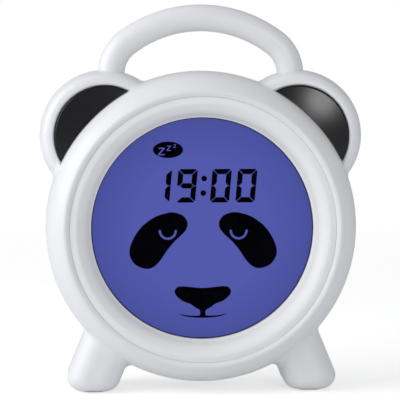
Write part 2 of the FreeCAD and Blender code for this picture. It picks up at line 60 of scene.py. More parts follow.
def plateMesh(name, shapes, front, thick):
    # Thin plates from outlines in x and z (mm). Each shape is its edge followed by its holes.
    work = bmesh.new()
    for outlines in shapes:
        near = [work.verts.new(place(x, front, z)) for points in outlines for x, z in points]
        far = [work.verts.new(place(x, front + thick, z)) for points in outlines for x, z in points]
        for a, b, c in tessellate_polygon([[Vector((x, z, 0)) for x, z in points] for points in outlines]):
            work.faces.new((near[a], near[b], near[c]))
            work.faces.new((far[c], far[b], far[a]))
        flat = [face for face in work.faces if set(face.verts) <= set(near) or set(face.verts) <= set(far)]
        edges = dict.fromkeys(edge for face in flat for edge in face.edges)     # in the same order each run
        bmesh.ops.beautify_fill(work, faces=flat, edges=list(edges))
        start = 0
        for points in outlines:
            for i in range(len(points)):
                here, following = start + i, start + (i + 1) % len(points)
                work.faces.new((near[here], near[following], far[following], far[here]))
            start += len(points)
    bmesh.ops.recalc_face_normals(work, faces=work.faces)
    mesh = bpy.data.meshes.new(name)
    work.to_mesh(mesh)
    work.free()
    return mesh


def smoothed(points, steps=6):
    # closed line that bends evenly through its points
    line = []
    for i in range(len(points)):
        before, start, end, after = (Vector(points[(i + k) % len(points)]) for k in (-1, 0, 1, 2))
        for step in range(steps):
            t = step / steps
            bend = (2 * before - 5 * start + 4 * end - after) * t ** 2
            twist = (3 * start - before - 3 * end + after) * t ** 3
            line.append(tuple(.5 * (2 * start + (end - before) * t + bend + twist)))
    return line


def circle(x, z, radius, count=24, flat=1.0):
    turns = [2 * math.pi * i / count for i in range(count)]
    return [(x + radius * math.cos(a), z + flat * radius * math.sin(a)) for a in turns]


def cross(x, z, reach, half):
    return [(x + a, z + b) for a, b in (
        (-half, half), (-half, reach), (half, reach), (half, half), (reach, half), (reach, -half),
        (half, -half), (half, -reach), (-half, -reach), (-half, -half), (-reach, -half), (-reach, half))]


def joined(name, meshes):
    work = bmesh.new()
    for mesh in meshes:
        work.from_mesh(mesh)
    whole = bpy.data.meshes.new(name)
    work.to_mesh(whole)
    work.free()
    return whole


def growMesh(name, carrier, tree, sizes):
    # runs a node tree on a carrier mesh and keeps the result as a plain mesh
    holder = bpy.data.objects.new(name, carrier)
    bpy.context.scene.collection.objects.link(holder)
    modifier = holder.modifiers.new(name, "NODES")
    modifier.node_group = tree
    for item in tree.interface.items_tree:
        if item.in_out == "INPUT" and item.name in sizes:
            modifier[item.identifier] = sizes[item.name]
    bpy.context.view_layer.update()
    mesh = bpy.data.meshes.new_from_object(holder.evaluated_get(bpy.context.evaluated_depsgraph_get()))
    bpy.data.objects.remove(holder)
    return mesh


def pointMesh(name, spots):
    mesh = bpy.data.meshes.new(name)
    mesh.from_pydata([place(*spot) for spot in spots], [], [])
    return mesh


def newGroup(name, inputs, outputs):
    group = bpy.data.node_groups.new(name, "ShaderNodeTree")
    for label, kind, value in inputs:
        socket = group.interface.new_socket(label, in_out="INPUT", socket_type="NodeSocket" + kind)
        socket.default_value = value
    for label, kind in outputs:
        group.interface.new_socket(label, in_out="OUTPUT", socket_type="NodeSocket" + kind)
    return group, group.nodes.new("NodeGroupInput"), group.nodes.new("NodeGroupOutput")


def addNode(tree, kind, settings=(), **values):
    node = tree.nodes.new("ShaderNode" + kind)
    for key, value in dict(settings).items():
        setattr(node, key, value)
    for key, value in values.items():
        node.inputs[key.replace("_", " ")].default_value = value
    return node


def spread(tree, source, low, high, outLow, outHigh):
    node = addNode(tree, "MapRange")
    tree.links.new(source, node.inputs["Value"])
    for label, value in (("From Min", low), ("From Max", high), ("To Min", outLow), ("To Max", outHigh)):
        if isinstance(value, (int, float)):
            node.inputs[label].default_value = value
        else:
            tree.links.new(value, node.inputs[label])
    return node.outputs["Result"]


def mixColour(tree, factor, first, second):
    node = addNode(tree, "Mix", {"data_type": "RGBA"})
    for socket, value in ((node.inputs[0], factor), (node.inputs[6], first), (node.inputs[7], second)):
        if hasattr(value, "links"):
            tree.links.new(value, socket)
        else:
            socket.default_value = value
    return node.outputs[2]


def makeMouldedSkin():
    # Moulded plastic: faint clouds in the colour, uneven polish and a very fine skin
    group, given, result = newGroup("mouldedSkin", [
        ("Colour", "Color", (.8, .8, .8, 1)), ("Flow Colour", "Color", (.75, .75, .75, 1)),
        ("Flow Size", "Float", 18), ("Grain Size", "Float", 1400),
        ("Polish", "Float", .35), ("Polish Swing", "Float", .08)],
        [("Colour", "Color"), ("Roughness", "Float"), ("Height", "Float")])
    where = addNode(group, "TexCoord").outputs["Object"]
    flow = addNode(group, "TexNoise", Detail=3, Roughness=.55)
    grain = addNode(group, "TexNoise", Detail=2, Roughness=.6)
    for node, label in ((flow, "Flow Size"), (grain, "Grain Size")):
        group.links.new(where, node.inputs["Vector"])
        group.links.new(given.outputs[label], node.inputs["Scale"])
    clouds = spread(group, flow.outputs["Fac"], .35, .65, 0, 1)
    shade = mixColour(group, clouds, given.outputs["Colour"], given.outputs["Flow Colour"])
    group.links.new(shade, result.inputs["Colour"])
    high = addNode(group, "Math", {"operation": "ADD"})
    group.links.new(given.outputs["Polish"], high.inputs[0])
    group.links.new(given.outputs["Polish Swing"], high.inputs[1])
    uneven = spread(group, grain.outputs["Fac"], .3, .7, given.outputs["Polish"], high.outputs[0])
    group.links.new(uneven, result.inputs["Roughness"])
    group.links.new(grain.outputs["Fac"], result.inputs["Height"])
    return group


def makePartingLine():
    # 1 where the two halves of the case meet, fading to 0 beside it
    group, given, result = newGroup("partingLine", [("Half Width", "Float", .14 * mm)], [("Mask", "Float")])
    split = addNode(group, "SeparateXYZ")
    group.links.new(addNode(group, "TexCoord").outputs["Object"], split.inputs[0])
    away = addNode(group, "Math", {"operation": "ABSOLUTE"})
    group.links.new(split.outputs["Y"], away.inputs[0])
    mask = spread(group, away.outputs[0], 0, given.outputs["Half Width"], 1, 0)
    group.links.new(mask, result.inputs["Mask"])
    return group


jacketLook = {
    "sleeve": (.012, .06, .022, 1),
    "band": (.62, .52, .2, 1),
    "bare": (.6, .6, .6, 1),
    "edges": (.02, .7, .955),    # shares of the length where sleeve, band and bare end begin
    "paintMetal": .35,
    "wear": 160,
    "polish": (.24, .38),
}


def makeBandedJacket():
    # A dry cell from its flat end to its button: bare metal, sleeve, band, bare metal
    group, given, result = newGroup("bandedJacket", [
        ("Low", "Float", 0), ("High", "Float", 1),
        ("Sleeve", "Color", jacketLook["sleeve"]), ("Band", "Color", jacketLook["band"])],
        [("Colour", "Color"), ("Metallic", "Float")])
    split = addNode(group, "SeparateXYZ")
    group.links.new(addNode(group, "TexCoord").outputs["Object"], split.inputs[0])
    height = spread(group, split.outputs["Z"], given.outputs["Low"], given.outputs["High"], 0, 1)
    bands = []
    for edge in jacketLook["edges"]:
        step = addNode(group, "Math", {"operation": "GREATER_THAN"})
        step.inputs[1].default_value = edge
        group.links.new(height, step.inputs[0])
        bands.append(step.outputs[0])
    lower = mixColour(group, bands[0], jacketLook["bare"], given.outputs["Sleeve"])
    upper = mixColour(group, bands[1], lower, given.outputs["Band"])
    group.links.new(mixColour(group, bands[2], upper, jacketLook["bare"]), result.inputs["Colour"])
    bare = addNode(group, "Math", {"operation": "MAXIMUM"})
    group.links.new(spread(group, bands[0], 0, 1, 1, jacketLook["paintMetal"]), bare.inputs[0])
    group.links.new(bands[2], bare.inputs[1])
    group.links.new(bare.outputs[0], result.inputs["Metallic"])
    return group


def makeFromMiddle():
    # 0 near the middle of the display, rising to 1 farther out, measured across the front
    group, given, result = newGroup(
        "fromMiddle", [("Near", "Float", 0), ("Far", "Float", 1)], [("Fade", "Float")])
    centred = addNode(group, "Mapping")
    centred.inputs["Location"].default_value = (0, 0, -caseHeight * mm)
    centred.inputs["Scale"].default_value = (1, 0, 1)
    group.links.new(addNode(group, "TexCoord").outputs["Object"], centred.inputs["Vector"])
    reach = addNode(group, "VectorMath", {"operation": "LENGTH"})
    group.links.new(centred.outputs["Vector"], reach.inputs[0])
    fade = spread(group, reach.outputs["Value"], given.outputs["Near"], given.outputs["Far"], 0, 1)
    group.links.new(fade, result.inputs["Fade"])
    return group


mouldedSkin = makeMouldedSkin()
partingLine = makePartingLine()
fromMiddle = makeFromMiddle()
bandedJacket = makeBandedJacket()


grainDepth = .02     # of the fine skin, mm


def plainMaterial(name, look):
    material = bpy.data.materials.new(name)
    material.use_nodes = True
    shader = material.node_tree.nodes["Principled BSDF"]
    for label, value in look.items():
        shader.inputs[label].default_value = value
    return material, material.node_tree, shader


def plastic(name, colour, flow, flowSize=18, grainSize=1400, polish=.35, swing=.08, relief=.05,
            shine=.4, metal=0, coat=(0, .03), seam=None):
    # What is the same all over goes on the shader's own sockets; the group gives what varies
    material, tree, shader = plainMaterial(name, {
        "Specular IOR Level": shine, "Metallic": metal, "Coat Weight": coat[0], "Coat Roughness": coat[1]})
    skin = tree.nodes.new("ShaderNodeGroup")
    skin.node_tree = mouldedSkin
    for label, value in (("Colour", (*colour, 1)), ("Flow Colour", (*flow, 1)), ("Flow Size", flowSize),
                         ("Grain Size", grainSize), ("Polish", polish), ("Polish Swing", swing)):
        skin.inputs[label].default_value = value
    bump = addNode(tree, "Bump", Strength=relief, Distance=grainDepth * mm)
    tree.links.new(skin.outputs["Height"], bump.inputs["Height"])
    shade = skin.outputs["Colour"]
    if seam:
        line = tree.nodes.new("ShaderNodeGroup")
        line.node_tree = partingLine
        shade = mixColour(tree, line.outputs["Mask"], shade, (*seam, 1))
    tree.links.new(shade, shader.inputs["Base Color"])
    tree.links.new(skin.outputs["Roughness"], shader.inputs["Roughness"])
    tree.links.new(bump.outputs["Normal"], shader.inputs["Normal"])
    return material


def cellJacket(name, low, high):
    material, tree, shader = plainMaterial(name, {})
    jacket = tree.nodes.new("ShaderNodeGroup")
    jacket.node_tree = bandedJacket
    for label, value in (("Low", (low + caseHeight) * mm), ("High", (high + caseHeight) * mm),
                         ("Sleeve", jacketLook["sleeve"]), ("Band", jacketLook["band"])):
        jacket.inputs[label].default_value = value
    wear = addNode(tree, "TexNoise", Scale=jacketLook["wear"], Detail=3)
    tree.links.new(addNode(tree, "TexCoord").outputs["Object"], wear.inputs["Vector"])
    polish = spread(tree, wear.outputs["Fac"], .3, .7, *jacketLook["polish"])
    tree.links.new(polish, shader.inputs["Roughness"])
    tree.links.new(jacket.outputs["Colour"], shader.inputs["Base Color"])
    tree.links.new(jacket.outputs["Metallic"], shader.inputs["Metallic"])
    return material


whiteLook = {"shine": .42, "coat": (.1, .35)}
metalLook = {"shine": .5, "metal": 1}
plasticLook = {
    "housingWhite": dict(colour=(.80, .81, .83), flow=(.775, .787, .81), polish=.34, seam=(.3, .305, .32),
        **whiteLook),
    "earBlack": dict(colour=(.002, .002, .003), flow=(.005, .005, .006), flowSize=30, grainSize=2200,
        polish=.2, swing=.05, relief=.08, shine=.38),
    "funnelWhite": dict(colour=(.84, .85, .865), flow=(.82, .83, .85), polish=.42, **whiteLook),
    "padRubber": dict(colour=(.32, .33, .34), flow=(.26, .27, .28), flowSize=60, grainSize=1800, polish=.75,
        swing=.15, relief=.4, shine=.3),
    "gasketNavy": dict(colour=(.012, .012, .04), flow=(.02, .02, .055), flowSize=60, grainSize=2200,
        polish=.6, swing=.1, shine=.1),
    "boardGreen": dict(colour=(.02, .12, .05), flow=(.03, .16, .07), flowSize=90, grainSize=2600, polish=.35,
        swing=.1),
    "partBlack": dict(colour=(.015, .015, .016), flow=(.03, .03, .032), flowSize=90, grainSize=2600,
        polish=.45, swing=.1),
    "boxWhite": dict(colour=(.8, .8, .78), flow=(.74, .74, .72), flowSize=40, grainSize=1800, polish=.45,
        swing=.1),
    "diffuserWhite": dict(colour=(.86, .87, .9), flow=(.82, .83, .88), flowSize=40, grainSize=1800, polish=.6,
        swing=.1, shine=.3),
    "lampChip": dict(colour=(.8, .78, .6), flow=(.85, .8, .45), flowSize=300, grainSize=2600, polish=.3,
        swing=.1),
    "canMetal": dict(colour=(.6, .61, .62), flow=(.5, .51, .52), flowSize=120, grainSize=3000, polish=.25,
        swing=.12, **metalLook),
    "steelPlated": dict(colour=(.66, .66, .65), flow=(.52, .52, .52), flowSize=220, grainSize=3400,
        polish=.22, swing=.14, **metalLook),
    "magnetDark": dict(colour=(.2, .2, .21), flow=(.12, .12, .13), flowSize=160, grainSize=3000, polish=.4,
        swing=.12, **metalLook),
    "socketCream": dict(colour=(.72, .66, .5), flow=(.66, .6, .45), flowSize=80, grainSize=2400, polish=.4,
        swing=.1),
    "ribbonAmber": dict(colour=(.5, .22, .03), flow=(.4, .16, .02), flowSize=120, grainSize=3000, polish=.3,
        swing=.1),
    "leadRed": dict(colour=(.35, .02, .02), flow=(.28, .015, .015), flowSize=200, grainSize=3000, polish=.45,
        swing=.1, shine=.3),
    "buttonGrey": dict(colour=(.55, .56, .58), flow=(.5, .51, .53), flowSize=60, grainSize=2600, polish=.45,
        swing=.1, relief=.2),
    "speakerFilm": dict(colour=(.03, .03, .032), flow=(.05, .05, .05), flowSize=120, grainSize=3000,
        polish=.6, swing=.1, shine=.3),
    "doorWhite": dict(colour=(.80, .81, .83), flow=(.775, .787, .81), polish=.36, **whiteLook),
    "markBlack": dict(colour=(.0004, .0004, .0016), flow=(.001, .001, .003), flowSize=60, grainSize=2600,
        polish=.7, swing=.1, shine=0),
    "printGrey": dict(colour=(.12, .125, .135), flow=(.15, .155, .165), flowSize=90, grainSize=2800,
        polish=.5, swing=.1, shine=.3),
}
cellLook = {"cellUp": (-34.6, 15.9), "cellDown": (13.2, -37.3)}     # flat end and button end of a cell
finishes = {name: plastic(name, **look) for name, look in plasticLook.items()}
for name, ends in cellLook.items():
    finishes[name] = cellJacket(name, *ends)

glowLook = {
    "middle": (.083, .098, .412, 1),
    "edge": (.061, .075, .322, 1),
    "spill": .25,            # how much of it falls on the funnel
    "clear": 30,             # mm from the middle where it starts to darken
    "rim": 54,
    "cloud": 14,
    "uneven": .06,
}


def fadeOut(tree, near, far):
    node = tree.nodes.new("ShaderNodeGroup")
    node.node_tree = fromMiddle
    node.inputs["Near"].default_value, node.inputs["Far"].default_value = near * mm, far * mm
    return node.outputs["Fade"]


def makeGlow():
    # Light from the lamps behind the panel, brightest in the middle
    material, tree, shader = plainMaterial("panelGlow", {
        "Base Color": (.004, .004, .01, 1), "Roughness": .5, "Specular IOR Level": .05})
    cameraRay = addNode(tree, "LightPath").outputs["Is Camera Ray"]
    tree.links.new(spread(tree, cameraRay, 0, 1, glowLook["spill"], 1), shader.inputs["Emission Strength"])
    fade = fadeOut(tree, glowLook["clear"], glowLook["rim"])
    cloud = addNode(tree, "TexNoise", Scale=glowLook["cloud"], Detail=2)
    tree.links.new(addNode(tree, "TexCoord").outputs["Object"], cloud.inputs["Vector"])
    uneven = spread(tree, cloud.outputs["Fac"], .3, .7, -glowLook["uneven"], glowLook["uneven"])
    total = addNode(tree, "Math", {"operation": "ADD", "use_clamp": True})
    tree.links.new(fade, total.inputs[0])
    tree.links.new(uneven, total.inputs[1])
    shade = mixColour(tree, total.outputs[0], glowLook["middle"], glowLook["edge"])
    tree.links.new(shade, shader.inputs["Emission Color"])
    return material


# painted light on the funnel: where its glow starts, how far out it fades and its colour
paintedLipGlowLook = {"mouth": 51, "lit": 6, "glow": (.072, .074, .08, 1)}     # its radius and lit width, mm


def paintLipGlow(material):
    # painted light: a faint glow on the funnel, strongest at its mouth and gone a few millimetres out,
    # brightens it near the display
    tree = material.node_tree
    shader = tree.nodes["Principled BSDF"]
    shader.inputs["Emission Strength"].default_value = 1
    fade = fadeOut(tree, paintedLipGlowLook["mouth"], paintedLipGlowLook["mouth"] + paintedLipGlowLook["lit"])
    tree.links.new(mixColour(tree, fade, paintedLipGlowLook["glow"], (0, 0, 0, 1)), shader.inputs["Emission Color"])


clearLook = {"tint": (.01, .01, .015, 1), "straight": .012, "slanted": .5, "dust": 900, "polish": (.03, .08)}


def makeClear():
    # Clear window: shines more when seen at a slant
    material, tree, shader = plainMaterial("windowClear", {"Base Color": clearLook["tint"]})
    slant = addNode(tree, "LayerWeight", Blend=.25)
    seen = spread(tree, slant.outputs["Facing"], 0, 1, clearLook["straight"], clearLook["slanted"])
    tree.links.new(seen, shader.inputs["Alpha"])
    dust = addNode(tree, "TexNoise", Scale=clearLook["dust"], Detail=2)
    tree.links.new(addNode(tree, "TexCoord").outputs["Object"], dust.inputs["Vector"])
    polish = spread(tree, dust.outputs["Fac"], .3, .7, *clearLook["polish"])
    tree.links.new(polish, shader.inputs["Roughness"])
    return material


# paints a faint glow onto the funnel near its mouth
paintLipGlow(finishes["funnelWhite"])
finishes["panelGlow"] = makeGlow()
finishes["windowClear"] = makeClear()

dressed = {
    "housingWhite": ["front_shell", "rear_shell"],
    "earBlack": ["ear_insert_left", "ear_insert_right"],
    "funnelWhite": ["display_funnel"],
    "padRubber": ["foot_pad_left", "foot_pad_right"],
    "gasketNavy": ["window_gasket"],
    "windowClear": ["display_window"],
    "panelGlow": ["lcd_front_polariser", "lcd_front_glass", "lcd_rear_glass", "lcd_rear_polariser"],
    "boxWhite": ["light_box"],
    "diffuserWhite": ["light_diffuser"],
    "boardGreen": ["main_board", "key_board", "socket_board"],
    "lampChip": ["night_light_leds"],
    "partBlack": ["clock_chip", "key_switches", "supply_socket_tongue"],
    "canMetal": ["clock_crystal", "main_capacitors", "supply_socket"],
    "socketCream": ["lead_sockets"],
    "ribbonAmber": ["panel_ribbon"],
    "leadRed": ["battery_lead", "speaker_lead", "socket_lead", "key_lead"],
    "buttonGrey": ["button_mode", "button_down", "button_alarm", "button_light", "button_up", "button_set"],
    "speakerFilm": ["speaker_film", "speaker_frame"],
    "magnetDark": ["speaker_magnet"],
    "steelPlated": ["battery_plates", "battery_springs", "battery_door_screw"],
    "doorWhite": ["battery_door"],
    "cellUp": ["cell_1", "cell_3"],
    "cellDown": ["cell_2"],
}
for finish, names in dressed.items():
    for name in names:
        nodes[name].data.materials.clear()
        nodes[name].data.materials.append(finishes[finish])
print("finishes on the frame")


markLook = {"front": -11.21, "thick": .04}     # just before the panel
digitLook = {
    "halfWidth": 4.45,
    "halfHeight": 7.7,
    "stroke": 2.4,
    "gap": .2,
    "cut": .9,           # off the outer corners
    "slant": .088,
    "level": 19.45,
    "middles": {-18.9: "bc", -7.1: "abcdfg", 8.55: "abcdef", 20.3: "abcdef"},
    "colon": ((.9, 22.8), (.5, 16.1)),
    "dot": 1.3,
}


def newMark(name, shapes):
    return newPiece(name, plateMesh(name, shapes, **markLook), finishes["markBlack"])


def segmentOutlines():
    w, h, t, g, c = (digitLook[key] for key in ("halfWidth", "halfHeight", "stroke", "gap", "cut"))
    top = [(c - w, h), (w - c, h), (w - c / 2 - g, h - c / 2), (w - t - g, h - t), (t + g - w, h - t),
           (c / 2 + g - w, h - c / 2)]
    right = [(w - c / 2, h - c / 2 - g), (w, h - c), (w, g / 2), (w - t / 2, g / 2), (w - t, g / 2 + t / 2),
             (w - t, h - t - g)]
    middle = [(t / 2 + g - w, 0), (t + g - w, t / 2), (w - t - g, t / 2), (w - t / 2 - g, 0),
              (w - t - g, -t / 2), (t + g - w, -t / 2)]
    upsideDown = lambda shape: [(x, -z) for x, z in shape]
    otherSide = lambda shape: [(-x, z) for x, z in shape]
    return {"a": top, "b": right, "c": upsideDown(right), "d": upsideDown(top),
            "e": upsideDown(otherSide(right)), "f": otherSide(right), "g": middle}


def makeDigits():
    shapes = segmentOutlines()
    outlines = []
    slant, level = digitLook["slant"], digitLook["level"]
    for middle, lit in digitLook["middles"].items():
        for segment in lit:
            outlines.append([[(middle + x + slant * z, level + z) for x, z in shapes[segment]]])
    outlines += [[circle(x, z, digitLook["dot"])] for x, z in digitLook["colon"]]
    newMark("clock_digits", outlines)


sleepLook = {"middle": (-15.65, 36), "reach": 6.9, "flat": .545,
             "letters": ((-20.3, 33.5, 3.2, 3.5), (-16.4, 35.5, 2.1, 2.4), (-13.3, 36.9, 1.4, 1.6))}
letterShape = ((.1, 1), (1, 1), (1, .85), (.29, .16), (.97, .16), (.97, 0), (0, 0), (0, .14),
               (.7, .84), (.1, .84))


def makeSleepSign():
    outlines = [circle(*sleepLook["middle"], sleepLook["reach"], 48, sleepLook["flat"])]
    for left, low, wide, tall in sleepLook["letters"]:
        outlines.append([(left + wide * x, low + tall * z) for x, z in letterShape])
    newMark("sleep_sign", [outlines])


eyeLook = {
    "patch": ((-9.85, 6.1), (-13.95, 7.3), (-17.45, 6.8), (-22.05, 5.3), (-26.55, 2.3),
              (-29.55, -0.8), (-32.15, -4.9), (-33.85, -9.7), (-33.55, -13.2), (-31.15, -16.8),
              (-26.55, -18.7), (-22.95, -17.9), (-19.75, -14.9), (-16.75, -10.4), (-13.35, -6.3),
              (-10.35, -3.5), (-7.95, -0.8), (-7.2, 2), (-7.95, 4.15)),
    "lid": (-16.3, -1.2),
    "lidReach": 3.65,
    "lidStroke": 1.0,
    "lidTurn": (5, -185),    # degrees
    "lidSteps": 16,
    "middle": .48,
}


def makeEye(name, side):
    # A closed eye: a dark patch with the lid left out of it as a bow
    (x, z), reach, half = eyeLook["lid"], eyeLook["lidReach"], eyeLook["lidStroke"] / 2
    (start, end), steps = eyeLook["lidTurn"], eyeLook["lidSteps"]
    angles = [math.radians(start + (end - start) * i / steps) for i in range(steps + 1)]
    outer = [(x + (reach + half) * math.cos(a), z + (reach + half) * math.sin(a)) for a in angles]
    inner = [(x + (reach - half) * math.cos(a), z + (reach - half) * math.sin(a)) for a in reversed(angles)]
    outlines = [smoothed(eyeLook["patch"]), outer + inner]
    newMark(name, [[[(eyeLook["middle"] + side * px, pz) for px, pz in points] for points in outlines]])


noseLook = {
    "middle": .3,
    "top": -27.74,
    "foot": -41.6,
    "half": ((-5.57, -27.28), (-9.24, -26.92), (-11.65, -27.28), (-12.8, -28.53), (-12.98, -29.49),
             (-12.52, -30.87), (-10.87, -32.62), (-9.22, -33.82), (-7.38, -34.51), (-5.55, -35.24),
             (-3.71, -36.67), (-2.11, -37.54), (-1.28, -38.4), (-1.22, -39.5), (-1.51, -40.4),
             (-3.71, -40.63), (-7.38, -40.38), (-10.94, -39.71), (-8.53, -40.77), (-5.78, -41.25),
             (-3.03, -41.52)),
}


def makeNose():
    left = list(noseLook["half"])
    right = [(-x, z) for x, z in reversed(left)]
    outline = [(0, noseLook["top"])] + left + [(0, noseLook["foot"])] + right
    newMark("nose_and_mouth", [[smoothed([(noseLook["middle"] + x, z) for x, z in outline])]])


makeDigits()
makeSleepSign()
makeEye("eye_patch_left", 1)
makeEye("eye_patch_right", -1)
makeNose()
print("display marks made")


# The back: printed signs on the keys, screws and battery springs
keyLook = {
    "ring": 45,
    "top": 23.73,
    "thick": .06,
    "reach": 1.9,        # of the plus and minus signs from the middle of their keys
    "half": .35,         # their strokes are twice as wide
    "angles": {"mode": 40, "down": 60, "alarm": 80, "light": 100, "up": 120, "set": 140},
}


def keySigns():
    # sideways first, then up, as seen from behind, in mm from the middle of a key
    reach, thin = keyLook["reach"], keyLook["half"]
    minus = [(-reach, -thin), (reach, -thin), (reach, thin), (-reach, thin)]
    half = [(-1.9, -1.1), (-1.35, -.5), (-1.2, .6), (-.7, 1.6)]
    bell = smoothed(half + [(0, 1.9)] + [(-side, up) for side, up in reversed(half)], 4)
    bow = [math.radians(60 + 240 * i / 20) for i in range(21)]
    moon = [(2.1 * math.cos(a) + .5, 2.1 * math.sin(a)) for a in bow]
    moon += [(1.85 * math.cos(a) + 1.15, 1.82 * math.sin(a)) for a in reversed(bow)]
    tick = [(-1.9, .1), (-1.35, .65), (-.5, -.25), (1.4, 1.75), (1.95, 1.2), (-.5, -1.4)]
    hands = [(-.22, -.3), (-.22, 1.35), (.22, 1.35), (.22, .1), (1.15, .1), (1.15, -.3)]
    return {
        "mode": [[circle(0, 0, 2.2), circle(0, 0, 1.8)], [hands]],
        "down": [[minus]],
        "alarm": [[bell], [circle(0, -1.55, .42, 12)]],
        "light": [[moon]],
        "up": [[cross(0, 0, reach, thin)]],
        "set": [[tick]],
    }


def makeKeySigns():
    for name, shapes in keySigns().items():
        turn = math.radians(keyLook["angles"][name])
        x, z = keyLook["ring"] * math.cos(turn), keyLook["ring"] * math.sin(turn)
        placed = [[[(x - side, z + up) for side, up in points] for points in outlines] for outlines in shapes]
        label = "sign_" + name
        newPiece(label, plateMesh(label, placed, keyLook["top"], keyLook["thick"]), finishes["printGrey"],
                 "button_" + name + "_body")


screwLook = {
    "ring": 59.55,           # the wells of the four case screws lie on this radius
    "floor": 8.0,
    "high": 1.7,
    "head": 2.4,
    "crown": 2.0,
    "sides": 40,
    "cross": (1.35, .32),    # reach and half width of the slot
    "laps": (.05, .02),      # how far the two upper layers of a head reach into the lower one
    "step": .4,              # thickness of the middle layer, as a share of the head's upper half
}


def screwHead(name, x, z, low, high, radius, crown):
    # pan head facing +Y, with a crossed slot in its crown
    sides, (lap, crownLap) = screwLook["sides"], screwLook["laps"]
    middle = (low + high) / 2
    top = high - middle
    rim = circle(x, z, radius, sides)
    step = circle(x, z, (radius + crown) / 2, sides)
    face = [circle(x, z, crown, sides), cross(x, z, *screwLook["cross"])]
    return joined(name, [
        plateMesh(name, [[rim]], low, middle - low),
        plateMesh(name, [[step]], middle - lap, top * screwLook["step"]),
        plateMesh(name, [face], middle - crownLap, top + crownLap)])


def makeScrewTree(head):
    tree = bpy.data.node_groups.new("screwRing", "GeometryNodeTree")
    tree.interface.new_socket("Geometry", in_out="INPUT", socket_type="NodeSocketGeometry")
    tree.interface.new_socket("Head Scale", in_out="INPUT", socket_type="NodeSocketFloat")
    tree.interface.new_socket("Geometry", in_out="OUTPUT", socket_type="NodeSocketGeometry")
    given, result = tree.nodes.new("NodeGroupInput"), tree.nodes.new("NodeGroupOutput")
    source = tree.nodes.new("GeometryNodeObjectInfo")
    source.inputs["Object"].default_value = head
    spots = tree.nodes.new("GeometryNodeInstanceOnPoints")
    realize = tree.nodes.new("GeometryNodeRealizeInstances")
    paint = tree.nodes.new("GeometryNodeSetMaterial")
    paint.inputs["Material"].default_value = finishes["steelPlated"]
    tree.links.new(given.outputs["Geometry"], spots.inputs["Points"])
    tree.links.new(source.outputs["Geometry"], spots.inputs["Instance"])
    tree.links.new(given.outputs["Head Scale"], spots.inputs["Scale"])
    tree.links.new(spots.outputs["Instances"], realize.inputs["Geometry"])
    tree.links.new(realize.outputs["Geometry"], paint.inputs["Geometry"])
    tree.links.new(paint.outputs["Geometry"], result.inputs["Geometry"])
    return tree


def makeCaseScrews():
    # one head about the origin, set on the floor of each well
    look = screwLook
    mesh = screwHead("screwHead", 0, -caseHeight, 0, look["high"], look["head"], look["crown"])
    head = bpy.data.objects.new("screwHead", mesh)
    bpy.context.scene.collection.objects.link(head)
    turns = [math.radians(45 + 90 * i) for i in range(4)]
    spots = [(look["ring"] * math.cos(a), look["floor"], look["ring"] * math.sin(a)) for a in turns]
    grown = growMesh("case_screws", pointMesh("wells", spots), makeScrewTree(head), {"Head Scale": 1.0})
    bpy.data.objects.remove(head)
    newPiece("case_screws", grown, finishes["steelPlated"])


doorScrewLook = {"level": 21.6, "low": 22.552, "high": 23.65, "head": 2.65, "crown": 2.3,
                 "shank": 1.1, "tip": 18.0, "lap": .1}


def makeDoorScrew():
    look, name = doorScrewLook, "battery_door_screw_head"
    head = screwHead(name, 0, look["level"], look["low"], look["high"], look["head"], look["crown"])
    length = look["low"] - look["tip"] + look["lap"]
    shank = plateMesh("shank", [[circle(0, look["level"], look["shank"])]], look["tip"], length)
    whole = joined(name, [head, shank])
    screw = newPiece(name, whole, finishes["steelPlated"], "battery_door_body")
    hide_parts("battery_door_screw")


springLook = {"wire": .4, "wide": 4.1, "narrow": 2.4, "height": 2.3, "turns": 3.5, "steps": 26, "sides": 8,
              "y": 14.042, "pitch": 15.5, "low": -37.3, "high": 13.6}


def makeSpringTree():
    tree = bpy.data.node_groups.new("coilSpring", "GeometryNodeTree")
    tree.interface.new_socket("Geometry", in_out="INPUT", socket_type="NodeSocketGeometry")
    for label in ("Turns", "Start Radius", "End Radius", "Height", "Wire Radius"):
        tree.interface.new_socket(label, in_out="INPUT", socket_type="NodeSocketFloat")
    tree.interface.new_socket("Geometry", in_out="OUTPUT", socket_type="NodeSocketGeometry")
    given, result = tree.nodes.new("NodeGroupInput"), tree.nodes.new("NodeGroupOutput")
    coil = tree.nodes.new("GeometryNodeCurveSpiral")
    coil.inputs["Resolution"].default_value = springLook["steps"]
    wire = tree.nodes.new("GeometryNodeCurvePrimitiveCircle")
    wire.inputs["Resolution"].default_value = springLook["sides"]
    sweep = tree.nodes.new("GeometryNodeCurveToMesh")
    sweep.inputs["Fill Caps"].default_value = True
    spots = tree.nodes.new("GeometryNodeInstanceOnPoints")
    realize = tree.nodes.new("GeometryNodeRealizeInstances")
    paint = tree.nodes.new("GeometryNodeSetMaterial")
    paint.inputs["Material"].default_value = finishes["steelPlated"]
    for label, socket in (("Turns", coil.inputs["Rotations"]), ("Start Radius", coil.inputs["Start Radius"]),
                          ("End Radius", coil.inputs["End Radius"]), ("Height", coil.inputs["Height"]),
                          ("Wire Radius", wire.inputs["Radius"]), ("Geometry", spots.inputs["Points"])):
        tree.links.new(given.outputs[label], socket)
    tree.links.new(coil.outputs["Curve"], sweep.inputs["Curve"])
    tree.links.new(wire.outputs["Curve"], sweep.inputs["Profile Curve"])
    tree.links.new(sweep.outputs["Mesh"], spots.inputs["Instance"])
    tree.links.new(spots.outputs["Instances"], realize.inputs["Geometry"])
    tree.links.new(realize.outputs["Geometry"], paint.inputs["Geometry"])
    tree.links.new(paint.outputs["Geometry"], result.inputs["Geometry"])
    return tree


